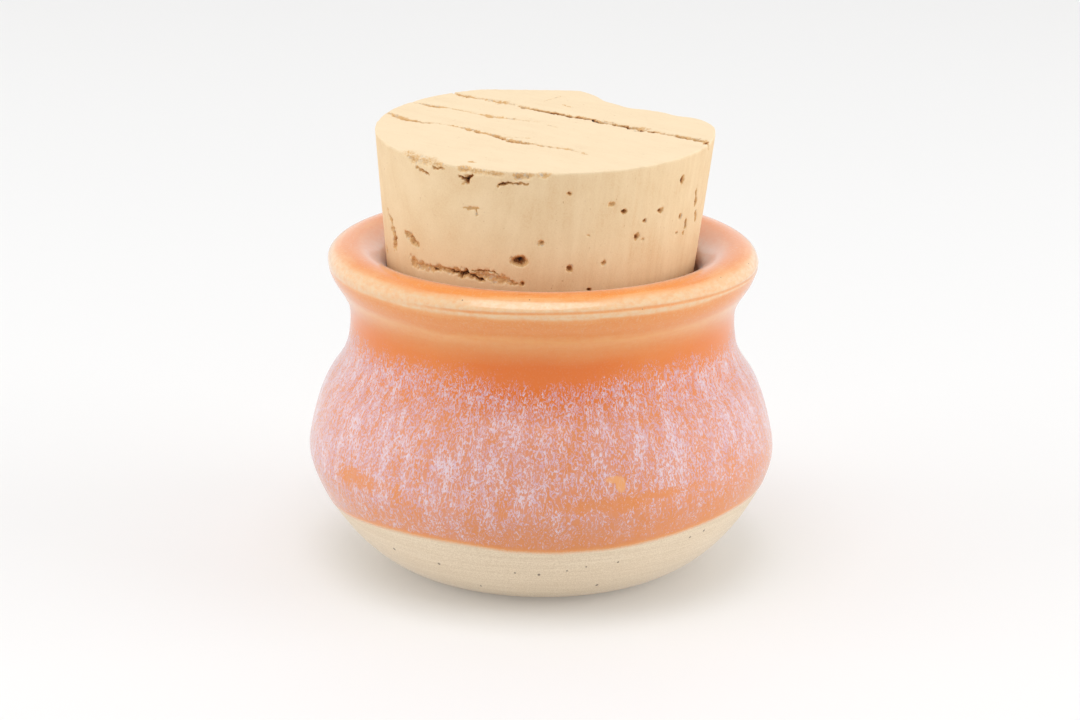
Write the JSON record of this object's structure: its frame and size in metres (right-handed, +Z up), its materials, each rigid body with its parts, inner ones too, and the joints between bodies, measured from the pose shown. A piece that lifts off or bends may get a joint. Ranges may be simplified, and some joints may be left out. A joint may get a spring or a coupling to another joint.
{
  "type": "corked ceramic jar",
  "caption": "Small round-bellied stoneware jar with a flared lip and a tapered natural cork stopper, to keep dry goods shut.",
  "frame": {"origin": "middle of the foot, on the surface that the jar stands on", "axes": "+Z up along the jar's turning axis, -Y towards the viewer of the picture, +X to the right"},
  "size_m": [0.064, 0.064, 0.0615],
  "materials": {
    "glazed_stoneware": "glossy orange glaze with lilac flecks, bare buff clay at the foot",
    "natural_cork": "matte, cut smooth, with cracks and pits"
  },
  "bodies": {
    "root": {"jar": "glazed_stoneware", "cork": "natural_cork"}
  },
  "joints": []
}
